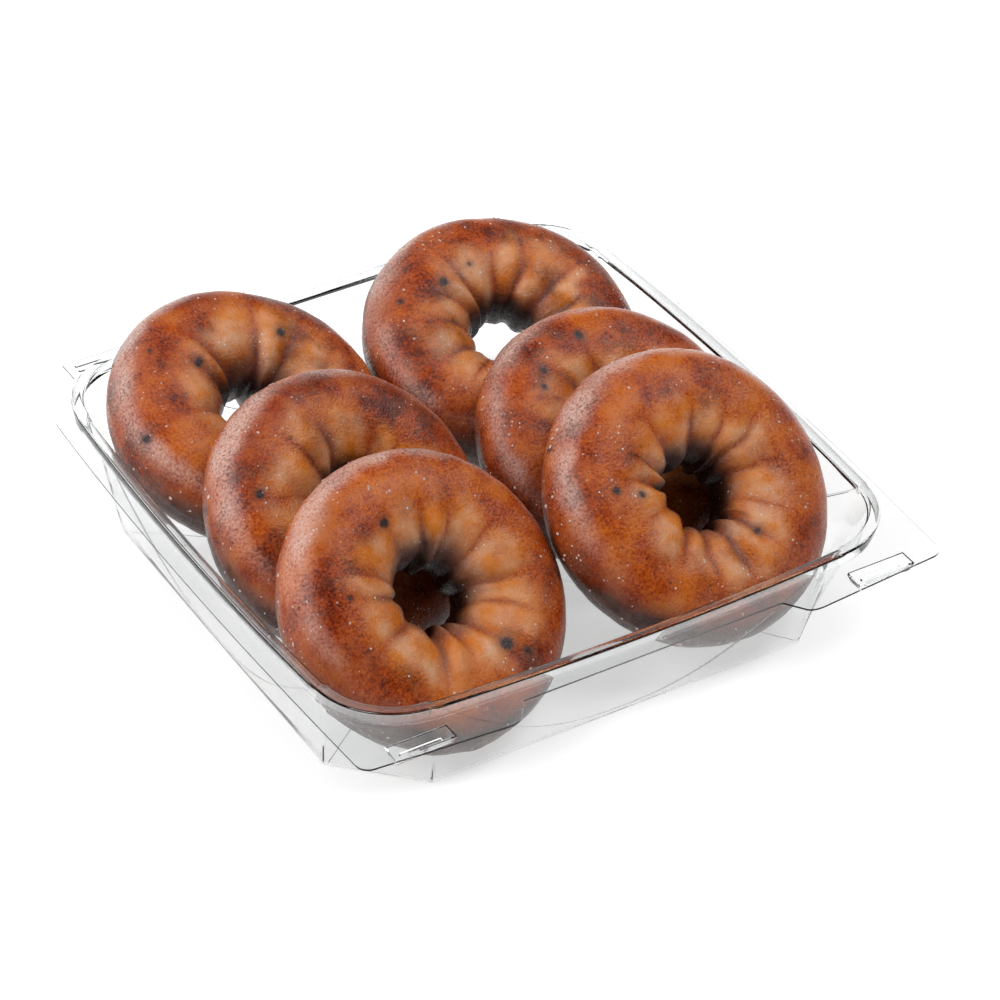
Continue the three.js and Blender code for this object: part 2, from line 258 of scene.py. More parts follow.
# ------------------------------------------------------------------------------------ finishes
@dataclass(frozen=True)
class FriedCrust:
    """Cake dough with berry pieces, deep fried, then dipped in thin sugar glaze.

    Frying gives a red brown, finely pitted crust that is paler and more orange on the lobes round the
    hole. The glaze's coat gives soft broad highlights; the glaze pools grey in the creases and dries white
    on the edge. Painted into the colour are a highlight on the glaze film, the most on the lobes, a sheen
    over the dried edge, and shade on the underside and down the hole.
    """

    dark: str = "#5a1502"
    middle: str = "#a93f05"
    light: str = "#cf6a18"
    lobe: str = "#e0822e"
    shoulder: str = "#741d02"
    # Painted shade for where the ring faces down.
    painted_underside_shade: str = "#320b01"
    # Painted shade for the hole's wall.
    deep: str = "#29110b"
    # Partly real glaze film, partly painted highlight, the most on the lobes.
    milky_glaze_and_highlight: str = "#e9bd9c"
    pooled_glaze: str = "#70504a"
    # Dried glaze, with a painted sheen laid into its colour where the edge faces up.
    dry_glaze_and_sheen: str = "#deb6a8"
    sugar: str = "#ecdcd4"
    berry: str = "#38292b"
    mottle_mm: float = 14.0
    pore_mm: float = 0.8
    grain_mm: float = 0.45
    film_mm: float = 9.0
    speck_mm: float = 1.7
    ior: float = 1.47
    roughness: float = 0.3
    specular: float = 0.12
    coat: float = 0.32
    coat_roughness: float = 0.22
    roughness_spread: tuple[float, float] = (-0.12, 0.14)
    # How much each noise browns the crust, and where the three browns stand on that scale.
    mottle_share: float = 1.35
    mottle_shift: float = -0.55
    pore_share: float = 0.9
    coarse_lift: float = 0.35
    browns_at: tuple[float, float, float] = (0.28, 0.5, 0.78)
    # Where the film of glaze starts and is full, its share off and on the lobes, and the rim's crackle.
    # The film is partly real glaze and partly painted highlight.
    film_range: tuple[float, float] = (0.4, 0.66)
    film_share: float = 0.1
    lobe_highlight_share: float = 0.5
    crackle_range: tuple[float, float] = (0.25, 0.6)
    # Where sugar specks gather, and how large they get as a share of their spacing.
    speck_range: tuple[float, float] = (0.48, 0.7)
    speck_size: float = 0.22
    # Relief that is too fine for the mesh: strengths, and heights in millimetres.
    grain_strength: float = 0.6
    relief_strength: float = 0.8
    grain_height: float = 0.1
    pore_height: float = 0.35
    speck_height: float = 0.15

    def build(self) -> bpy.types.Material:
        """Make the material.

        Returns:
            The crust's material.
        """
        material, tree, shader, places = new_material("fried_crust_with_sugar_glaze")
        at = places.outputs["Vector"]
        masks = {
            mask: add_node(tree, "ShaderNodeAttribute", {"attribute_name": mask.value}).outputs["Fac"]
            for mask in Mask
        }
        noises = {
            name: add_node(
                tree, "ShaderNodeTexNoise", None, Vector=at, Scale=1 / size, Detail=detail, Roughness=0.6
            ).outputs["Fac"]
            for name, size, detail in (
                ("mottle", self.mottle_mm, 3.0),
                ("pores", self.pore_mm, 3.0),
                ("grain", self.grain_mm, 2.0),
                ("film", self.film_mm, 4.0),
            )
        }
        colour = self.baked_colour(tree, masks, noises)
        colour = self.glazed_colour(tree, colour, masks, noises)
        specks = self.sugar_specks(tree, at, noises)
        sugared = add_node(
            tree, "ShaderNodeMix", {"data_type": "RGBA"}, i0=specks, i6=colour, i7=linear(self.sugar)
        )
        tree.links.new(sugared.outputs[2], shader.inputs["Base Color"])
        rough = add_node(
            tree, "ShaderNodeMapRange", None,
            Value=noises["pores"], From_Min=0.3, From_Max=0.7,
            To_Min=self.roughness + self.roughness_spread[0],
            To_Max=self.roughness + self.roughness_spread[1],
        )
        tree.links.new(rough.outputs["Result"], shader.inputs["Roughness"])
        fine = add_node(
            tree, "ShaderNodeBump", None,
            Strength=self.grain_strength, Distance=self.grain_height * MM, Height=noises["grain"],
        )
        pitted = add_node(
            tree, "ShaderNodeBump", None,
            Strength=self.relief_strength, Distance=self.pore_height * MM,
            Height=noises["pores"], Normal=fine.outputs["Normal"],
        )
        raised = add_node(
            tree, "ShaderNodeBump", None,
            Strength=self.relief_strength, Distance=self.speck_height * MM,
            Height=specks, Normal=pitted.outputs["Normal"],
        )
        tree.links.new(raised.outputs["Normal"], shader.inputs["Normal"])
        tree.links.new(raised.outputs["Normal"], shader.inputs["Coat Normal"])
        shader.inputs["IOR"].default_value = self.ior
        shader.inputs["Specular IOR Level"].default_value = self.specular
        shader.inputs["Coat Weight"].default_value = self.coat
        shader.inputs["Coat Roughness"].default_value = self.coat_roughness
        return material

    def baked_colour(self, tree: bpy.types.NodeTree, masks: dict, noises: dict) -> bpy.types.NodeSocket:
        """Colour the crust as frying leaves it, and paint shade on the underside.

        Args:
            tree: The material's nodes.
            masks: The mesh's masks.
            noises: The material's noises by name.

        Returns:
            The colour without glaze.
        """
        patchy = add_node(
            tree, "ShaderNodeMath", {"operation": "MULTIPLY_ADD"},
            i0=noises["mottle"], i1=self.mottle_share, i2=self.mottle_shift,
        )
        grainy = add_node(
            tree, "ShaderNodeMath", {"operation": "MULTIPLY_ADD"},
            i0=noises["pores"], i1=self.pore_share, i2=patchy.outputs["Value"],
        )
        coarse = add_node(
            tree, "ShaderNodeMath", {"operation": "ADD"}, i0=grainy.outputs["Value"], i1=self.coarse_lift
        )
        tone = add_node(
            tree, "ShaderNodeMath", {"operation": "SUBTRACT"},
            i0=grainy.outputs["Value"], i1=masks[Mask.BROWNING],
        )
        ramp = add_node(tree, "ShaderNodeValToRGB", None, Fac=tone.outputs["Value"])
        stops = ramp.color_ramp.elements
        dark_at, middle_at, light_at = self.browns_at
        stops[0].position = dark_at
        stops[0].color = linear(self.dark)
        stops[1].position = light_at
        stops[1].color = linear(self.light)
        stops.new(middle_at).color = linear(self.middle)
        colour = ramp.outputs["Color"]
        # The last of these mixes paints shade on the underside.
        for hex_colour, mask in (
            (self.shoulder, Mask.SHOULDER),
            (self.lobe, Mask.LOBE),
            (self.painted_underside_shade, Mask.UNDERSIDE_SHADE),
        ):
            share = add_node(
                tree, "ShaderNodeMath", {"operation": "MULTIPLY", "use_clamp": True},
                i0=masks[mask], i1=coarse.outputs["Value"],
            )
            mix = add_node(
                tree, "ShaderNodeMix", {"data_type": "RGBA"},
                i0=share.outputs["Value"], i6=colour, i7=linear(hex_colour),
            )
            colour = mix.outputs[2]
        return colour

    def glazed_colour(
        self, tree: bpy.types.NodeTree, colour: bpy.types.NodeSocket, masks: dict, noises: dict
    ) -> bpy.types.NodeSocket:
        """Lay the glaze and the berry pieces over the crust, with painted highlight, sheen and shade.

        Args:
            tree: The material's nodes.
            colour: The crust's colour.
            masks: The mesh's masks.
            noises: The material's noises by name.

        Returns:
            The colour with glaze.
        """
        # A film of glaze with a painted highlight on it, the most on the lobes.
        film = add_node(
            tree, "ShaderNodeMapRange", None,
            Value=noises["film"], From_Min=self.film_range[0], From_Max=self.film_range[1],
        )
        lobe_weighted_film_and_highlight = add_node(
            tree, "ShaderNodeMath", {"operation": "MULTIPLY_ADD", "use_clamp": True},
            i0=masks[Mask.LOBE], i1=self.lobe_highlight_share, i2=self.film_share,
        )
        milky = add_node(
            tree, "ShaderNodeMath", {"operation": "MULTIPLY", "use_clamp": True},
            i0=film.outputs["Result"], i1=lobe_weighted_film_and_highlight.outputs["Value"],
        )
        crackle = add_node(
            tree, "ShaderNodeMapRange", None,
            Value=noises["pores"], From_Min=self.crackle_range[0], From_Max=self.crackle_range[1],
        )
        # Dried glaze and painted sheen along the upper outer edge.
        dried = add_node(
            tree, "ShaderNodeMath", {"operation": "MULTIPLY", "use_clamp": True},
            i0=masks[Mask.EDGE], i1=crackle.outputs["Result"],
        )
        for hex_colour, share in (
            # Glaze film and painted highlight.
            (self.milky_glaze_and_highlight, milky.outputs["Value"]),
            (self.dry_glaze_and_sheen, dried.outputs["Value"]),
            (self.pooled_glaze, masks[Mask.GROOVE]),
            # Painted shade in the hole.
            (self.deep, masks[Mask.HOLE_SHADE]),
            (self.berry, masks[Mask.BERRY]),
        ):
            mix = add_node(
                tree, "ShaderNodeMix", {"data_type": "RGBA"}, i0=share, i6=colour, i7=linear(hex_colour)
            )
            colour = mix.outputs[2]
        return colour

    def sugar_specks(
        self, tree: bpy.types.NodeTree, at: bpy.types.NodeSocket, noises: dict
    ) -> bpy.types.NodeSocket:
        """Scatter dried specks of sugar.

        Args:
            tree: The material's nodes.
            at: The coordinates in millimetres.
            noises: The material's noises by name.

        Returns:
            One on a speck, zero elsewhere.
        """
        cells = add_node(tree, "ShaderNodeTexVoronoi", None, Vector=at, Scale=1 / self.speck_mm)
        size = add_node(
            tree, "ShaderNodeMapRange", None,
            Value=noises["film"], From_Min=self.speck_range[0], From_Max=self.speck_range[1],
            To_Max=self.speck_size,
        )
        on_speck = add_node(
            tree, "ShaderNodeMath", {"operation": "LESS_THAN"},
            i0=cells.outputs["Distance"], i1=size.outputs["Result"],
        )
        return on_speck.outputs["Value"]


@dataclass(frozen=True)
class DriedGlaze:
    """Icing sugar glaze that has dried into flakes and grains: chalky white, a little see-through."""

    colour: str = "#e6d6cf"
    shade: str = "#c9aa9c"
    grain_mm: float = 0.7
    grain_height: float = 0.1
    grain_strength: float = 0.4
    ior: float = 1.49
    roughness: float = 0.4

    def build(self) -> bpy.types.Material:
        """Make the material.

        Returns:
            The dried glaze's material.
        """
        material, tree, shader, places = new_material("dried_icing_sugar_glaze")
        cloud = add_node(
            tree, "ShaderNodeTexNoise", None,
            Vector=places.outputs["Vector"], Scale=1 / self.grain_mm, Detail=2.0,
        )
        mix = add_node(
            tree, "ShaderNodeMix", {"data_type": "RGBA"},
            i0=cloud.outputs["Fac"], i6=linear(self.shade), i7=linear(self.colour),
        )
        tree.links.new(mix.outputs[2], shader.inputs["Base Color"])
        bump = add_node(
            tree, "ShaderNodeBump", None,
            Strength=self.grain_strength, Distance=self.grain_height * MM, Height=cloud.outputs["Fac"],
        )
        tree.links.new(bump.outputs["Normal"], shader.inputs["Normal"])
        shader.inputs["IOR"].default_value = self.ior
        shader.inputs["Roughness"].default_value = self.roughness
        return material


@dataclass(frozen=True)
class ClearPet:
    """Clear PET sheet, drawn warm over a mould: nearly colourless, glossy, grey where seen edge-on.

    Light that falls through the sheet goes straight on, because it is too thin to cast a shadow. The index
    is a little below that of solid PET, which keeps reflections off the thin walls soft.
    """

    tint: str = "#fafbfb"
    shadow_tint: str = "#f3f3f3"
    ior: float = 1.5
    reflection: str = "#949494"
    roughness: float = 0.01
    ripple_mm: float = 14.0
    ripple_height: float = 0.3
    ripple_strength: float = 0.15

    def build(self) -> bpy.types.Material:
        """Make the material.

        Returns:
            The sheet's material.
        """
        material, tree, shader, places = new_material("clear_pet_sheet")
        ripple = add_node(
            tree, "ShaderNodeTexNoise", None,
            Vector=places.outputs["Vector"], Scale=1 / self.ripple_mm, Detail=2.0,
        )
        bump = add_node(
            tree, "ShaderNodeBump", None,
            Strength=self.ripple_strength, Distance=self.ripple_height * MM, Height=ripple.outputs["Fac"],
        )
        tree.links.new(bump.outputs["Normal"], shader.inputs["Normal"])
        shader.inputs["Base Color"].default_value = linear(self.tint)
        shader.inputs["IOR"].default_value = self.ior
        shader.inputs["Roughness"].default_value = self.roughness
        shader.inputs["Specular Tint"].default_value = linear(self.reflection)
        shader.inputs["Transmission Weight"].default_value = 1.0
        path = add_node(tree, "ShaderNodeLightPath")
        straight = add_node(
            tree, "ShaderNodeMath", {"operation": "MAXIMUM"},
            i0=path.outputs["Is Shadow Ray"], i1=path.outputs["Is Diffuse Ray"],
        )
        open_sheet = add_node(tree, "ShaderNodeBsdfTransparent", None, Color=linear(self.shadow_tint))
        sheet = add_node(
            tree, "ShaderNodeMixShader", None,
            i0=straight.outputs["Value"], i1=shader.outputs["BSDF"], i2=open_sheet.outputs["BSDF"],
        )
        output = next(node for node in tree.nodes if node.type == "OUTPUT_MATERIAL")
        tree.links.new(sheet.outputs["Shader"], output.inputs["Surface"])
        return material


@dataclass(frozen=True)
class PaleFloor:
    """Matt white acrylic sweep, lit a little from below so that shadows on it stay faint."""

    colour: str = "#f4f4f4"
    glow: float = 0.58
    roughness: float = 0.7
    roughness_spread: float = 0.1
    cloud_mm: float = 400.0

    def build(self) -> bpy.types.Material:
        """Make the material.

        Returns:
            The floor's material.
        """
        material, tree, shader, places = new_material("matt_white_sweep")
        cloud = add_node(
            tree, "ShaderNodeTexNoise", None, Vector=places.outputs["Vector"], Scale=1 / self.cloud_mm
        )
        rough = add_node(
            tree, "ShaderNodeMapRange", None,
            Value=cloud.outputs["Fac"],
            To_Min=self.roughness, To_Max=self.roughness + self.roughness_spread,
        )
        tree.links.new(rough.outputs["Result"], shader.inputs["Roughness"])
        shader.inputs["Base Color"].default_value = linear(self.colour)
        shader.inputs["Emission Color"].default_value = linear(self.colour)
        shader.inputs["Emission Strength"].default_value = self.glow
        return material


# ------------------------------------------------------------------------------------ doughnuts
@dataclass(frozen=True)
class RingPose:
    """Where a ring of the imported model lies, and its true sizes."""

    centre: Array
    axes: Array
    outer_radius: float
    hole_radius: float
    half_thickness: float

    @classmethod
    def of_node(cls, node: str) -> "RingPose":
        """Measure a ring's solid.

        Args:
            node: The node's name.

        Returns:
            The pose. Its axes are rows: to the right, to the back, and out of the top face.
        """
        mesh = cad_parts[node].data
        points = np.empty(len(mesh.vertices) * 3)
        mesh.vertices.foreach_get("co", points)
        points = np.unique(np.round(points.reshape(-1, 3) / MM, 3), axis=0)
        centre = points.mean(axis=0)
        _, vectors = np.linalg.eigh(np.cov((points - centre).T))
        up = vectors[:, 0] * np.sign(vectors[2, 0])
        right = np.array([1.0, 0.0, 0.0]) - up[0] * up
        right /= np.linalg.norm(right)
        axes = np.array([right, np.cross(up, right), up])
        local = (points - centre) @ axes.T
        radii = np.hypot(local[:, 0], local[:, 1])
        return cls(centre, axes, radii.max(), radii.min(), np.abs(local[:, 2]).max())

    def place(self, local: Array) -> Array:
        """Turn points of the ring's own frame into the row frame."""
        return local @ self.axes + self.centre


@dataclass(frozen=True)
class BerrySpot:
    """A berry piece that shows through the crust: where it is round the ring and its section."""

    around_deg: float
    section_deg: float
    radius_mm: float


@dataclass
class Doughnut:
    """One glazed cake doughnut, with its own creases, lumps and berry pieces."""

    name: str
    seed: int
    flutes: int = 14
    crease_depth: float = 2.0
    lobe_swell: float = 1.5
    settle: float = 0.25
    lump_depth: float = 1.1
    dent_depth: float = 0.35
    pit_depth: float = 0.14
    wrinkle_depth: float = 0.3
    ridge_height: float = 0.4
    ridge_width: float = 0.07
    drift_mm: float = 9.0
    lump_mm: float = 24.0
    dent_mm: float = 6.0
    pit_mm: float = 2.2
    wrinkle_mm: float = 3.5
    crease_jitter: float = 0.3
    crease_wander: float = 0.07
    valley_power: float = 1.4
    glaze_share: float = 0.6
    most_glaze: float = 0.7
    shoulder_at: float = 0.65
    shoulder_width: float = 0.45
    berry_share: float = 0.85
    halo_share: float = 0.35
    outline_mm: float = 2.0
    browning: float = 0.0
    berries: tuple[BerrySpot, ...] = ()
    section_power: float = 2.3
    steps_around: int = 320
    steps_section: int = 150
    pose: RingPose = field(init=False)
    surface: Array = field(init=False)
    outward: Array = field(init=False)
    from_edge: Array = field(init=False)

    def __post_init__(self) -> None:
        """Read the ring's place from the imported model."""
        self.pose = RingPose.of_node(self.node)

    @property
    def node(self) -> str:
        """The node that this doughnut stands for."""
        return f"doughnut_{self.name}"

    @property
    def half_width(self) -> float:
        """Half the width of the ring's section."""
        return (self.pose.outer_radius - self.pose.hole_radius) / 2

    @property
    def ring_radius(self) -> float:
        """Radius of the circle through the middles of the sections."""
        return (self.pose.outer_radius + self.pose.hole_radius) / 2

    def plain_ring(self, around: Array, section: Array) -> Array:
        """Give points of the ring without relief.

        Args:
            around: Angles about the hole.
            section: Angles about the section, from the outer edge over the top to the hole.

        Returns:
            Points in the ring's own frame.
        """
        power = 2 / self.section_power
        wide = np.sign(np.cos(section)) * np.abs(np.cos(section)) ** power
        high = np.sign(np.sin(section)) * np.abs(np.sin(section)) ** power
        radius = self.ring_radius + self.half_width * wide
        height = self.pose.half_thickness * high
        return np.stack([radius * np.cos(around), radius * np.sin(around), height], axis=-1)

    def plain_normal(self, around: Array, section: Array) -> Array:
        """Give the ring's outward directions at points without relief.

        Args:
            around: Angles about the hole.
            section: Angles about the section.

        Returns:
            Unit vectors in the ring's own frame.
        """
        step = 1e-3
        base = self.plain_ring(around, section)
        along_ring = self.plain_ring(around + step, section) - base
        along_section = self.plain_ring(around, section + step) - base
        normal = np.cross(along_ring, along_section)
        return normal / np.linalg.norm(normal, axis=1, keepdims=True)

    def creases(self) -> dict[str, Array]:
        """Choose where the creases run, how deep and long each is, and how each lobe after it swells."""
        random = np.random.default_rng(self.seed)
        spacing = 2 * math.pi / self.flutes
        jitter = self.crease_jitter
        return {
            "angle": (np.arange(self.flutes) + random.uniform(-jitter, jitter, self.flutes)) * spacing,
            "depth": random.uniform(0.15, 1.15, self.flutes),
            "start": random.uniform(-0.8, -0.1, self.flutes),
            "swell": random.uniform(-1.0, 1.0, self.flutes),
        }

    def crease_relief(self, around: Array, inward: Array, wander: Array) -> tuple[Array, Array, Array]:
        """Work out the creases that run out of the hole, and the rounded lobes between them.

        Args:
            around: Angles about the hole.
            inward: -1 at the outer edge, 0 at the crest and 1 at the hole.
            wander: Noise that makes the creases wander.

        Returns:
            How deep each place is sunk, how much glaze pools there, and how far up a lobe it is.
        """
        creases = self.creases()
        angles = creases["angle"]
        following = np.roll(angles, -1)
        following[-1] += 2 * math.pi
        turned = (around + self.crease_wander * wander - angles[0]) % (2 * math.pi) + angles[0]
        lobe = np.clip(np.searchsorted(angles, turned, side="right") - 1, 0, self.flutes - 1)
        share = (turned - angles[lobe]) / (following[lobe] - angles[lobe])
        after = (lobe + 1) % self.flutes
        blend = smooth_step(0.25, 0.75, share)
        depth = creases["depth"][lobe] * (1 - blend) + creases["depth"][after] * blend
        start = creases["start"][lobe] * (1 - blend) + creases["start"][after] * blend
        reach = smooth_step(0.0, 0.9, (inward - start) / (1 - start))
        off_middle = np.abs(2 * share - 1)
        valley = ((1 - np.cos(math.pi * off_middle)) / 2) ** self.valley_power
        swell = self.lobe_swell * creases["swell"][lobe] * (1 - off_middle**2) ** 2
        sunk = reach * (self.crease_depth * depth * valley - swell)
        pool = smooth_step(0.55, 1.0, off_middle + 0.12 * wander) * smooth_step(0.3, 0.95, reach) * depth
        up_lobe = smooth_step(0.0, 0.5, reach) * (1 - off_middle**3)
        return sunk, pool, up_lobe

    def build(self) -> bpy.types.Object:
        """Make the doughnut's mesh with its masks.

        Returns:
            The doughnut, in its place.
        """
        turns = np.arange(self.steps_around) / self.steps_around * 2 * math.pi
        wraps = np.arange(self.steps_section) / self.steps_section * 2 * math.pi
        around, section = (grid.ravel() for grid in np.meshgrid(turns, wraps, indexing="ij"))
        base = self.plain_ring(around, section)
        normal = self.plain_normal(around, section)
        radius = np.hypot(base[:, 0], base[:, 1])
        inward = (self.ring_radius - radius) / self.half_width
        height = base[:, 2] / self.pose.half_thickness
        from_edge = np.mod(section + math.pi, 2 * math.pi) - math.pi
        noise = LatticeNoise(self.seed)
        drift = noise.at(base, self.drift_mm)
        lumps = noise.at(base + 100, self.lump_mm)
        dents = noise.at(base + 200, self.dent_mm)
        pits = noise.at(base + 300, self.pit_mm)
        wrinkles = np.abs(noise.at(base + 500, self.wrinkle_mm))
        near_hole = smooth_step(0.35, 1.0, inward)
        sunk, pool, lobe = self.crease_relief(around, inward, drift)
        sunk += self.settle
        sunk -= self.lump_depth * lumps / 2
        sunk -= self.dent_depth * dents / 2
        sunk += self.pit_depth * (1 - pits) / 2
        sunk += self.wrinkle_depth * wrinkles * near_hole
        ridge = np.exp(-((from_edge / self.ridge_width) ** 2)) * (0.6 + 0.4 * dents)
        sunk -= self.ridge_height * ridge
        self.surface = self.pose.place(base - normal * sunk[:, None])
        self.outward = normal @ self.pose.axes
        self.from_edge = from_edge

        quads = grid_faces(self.steps_around, self.steps_section, close_rows=True)
        piece = mesh_object(f"{self.node}_ring", self.surface, quads)
        for polygon in piece.data.polygons:
            polygon.use_smooth = True
        facing_up = self.outward[:, 2]
        shoulder = np.exp(-(((from_edge - self.shoulder_at) / self.shoulder_width) ** 2))
        # Glaze dries on the upper side of the outer edge, under a painted sheen where it faces up, and
        # runs wet into the hole. Shade is painted down the hole's wall and where the ring faces down.
        glaze_and_sheen_band = smooth_step(-0.1, 0.15, from_edge) * smooth_step(0.95, 0.45, from_edge + 0.15 * dents)
        # The sheen is painted where the edge faces up in the scene.
        glaze_and_sheen_band *= smooth_step(0.25, 0.8, facing_up)
        # Painted shade: dark down the hole's wall, below the top face.
        deep = smooth_step(0.72, 1.0, inward + 0.08 * drift) * smooth_step(0.75, 0.1, height + 0.2 * drift)
        wet = smooth_step(0.4, 0.9, inward + 0.3 * drift) * smooth_step(0.95, 0.6, height)
        glaze = np.clip(self.glaze_share * np.maximum(pool, wet), 0, self.most_glaze)
        set_mask(piece, Mask.GROOVE, glaze)
        set_mask(piece, Mask.LOBE, lobe * smooth_step(-0.2, 0.6, height) * (0.8 + 0.6 * dents))
        set_mask(piece, Mask.SHOULDER, np.clip(shoulder * (0.12 + 0.9 * lumps), 0, 1))
        set_mask(piece, Mask.EDGE, np.clip(glaze_and_sheen_band * (0.9 + 0.6 * drift + 0.3 * dents), 0, 1))
        # Painted shade: the crust darkens where it faces down in the scene.
        set_mask(piece, Mask.UNDERSIDE_SHADE, 1.3 * smooth_step(0.5, -0.35, facing_up + 0.2 * lumps))
        set_mask(piece, Mask.HOLE_SHADE, deep)
        set_mask(piece, Mask.BERRY, self.berry_mask(base, noise))
        set_mask(piece, Mask.BROWNING, self.browning + 0.1 * lumps)
        return piece

    def berry_mask(self, base: Array, wander: LatticeNoise) -> Array:
        """Mark the berry pieces.

        Args:
            base: Points of the ring without relief.
            wander: The noise that makes their outlines uneven.

        Returns:
            One where a berry piece is, fading to zero round it.
        """
        mask = np.zeros(len(base))
        for spot in self.berries:
            at = self.plain_ring(
                np.array([math.radians(spot.around_deg)]), np.array([math.radians(spot.section_deg)])
            )
            away = np.linalg.norm(base - at, axis=1) / spot.radius_mm
            away += 0.35 * wander.at(base + 400, self.outline_mm)
            piece = self.berry_share * smooth_step(1.25, 0.45, away)
            halo = self.halo_share * smooth_step(2.6, 1.0, away)
            mask = np.maximum(mask, piece + halo)
        return np.clip(mask, 0, 1)

    def dress(self, piece: bpy.types.Object, crust: bpy.types.Material) -> None:
        """Give the doughnut its crust and put it in its node's place."""
        piece.data.materials.append(crust)
        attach(piece, BODY)
        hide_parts(self.node)


@dataclass
class DriedSugar:
    """Bits of dried glaze on the doughnuts, all of one kind joined in one piece."""

    name: str
    seed: int
    per_ring: int
    smallest: float
    largest: float
    flatness: float
    sides: int
    lowest_deg: float
    highest_deg: float
    tilt: float = 0.25
    narrowest: float = 0.6

    def build(self, doughnuts: tuple[Doughnut, ...]) -> bpy.types.Object:
        """Make the bits.

        Args:
            doughnuts: The doughnuts that they stick to, already built.

        Returns:
            The joined bits.
        """
        random = np.random.default_rng(self.seed)
        low, high = math.radians(self.lowest_deg), math.radians(self.highest_deg)
        turns = np.arange(self.sides) / self.sides * 2 * math.pi
        points, faces = [], []
        for doughnut in doughnuts:
            allowed = np.flatnonzero((doughnut.from_edge > low) & (doughnut.from_edge < high))
            for vertex in random.choice(allowed, self.per_ring, replace=False):
                size = random.uniform(self.smallest, self.largest)
                up = doughnut.outward[vertex] + random.normal(0, self.tilt, 3)
                up /= np.linalg.norm(up)
                side = np.cross(up, random.normal(0, 1, 3))
                side /= np.linalg.norm(side)
                other = np.cross(up, side)
                spread = size * random.uniform(self.narrowest, 1.0, self.sides)
                rim = doughnut.surface[vertex] + (
                    (spread * np.cos(turns))[:, None] * side + (spread * np.sin(turns))[:, None] * other
                )
                thick = up * size * self.flatness
                first = len(points)
                points += [*rim, doughnut.surface[vertex] + thick, doughnut.surface[vertex] - thick]
                for i in range(self.sides):
                    after = (i + 1) % self.sides
                    faces.append((first + i, first + after, first + self.sides))
                    faces.append((first + after, first + i, first + self.sides + 1))
        return mesh_object(self.name, np.array(points), faces)

    def dress(self, piece: bpy.types.Object, glaze: bpy.types.Material) -> None:
        """Give the bits their finish and stick them to the box's body."""
        piece.data.materials.append(glaze)
        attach(piece, BODY)


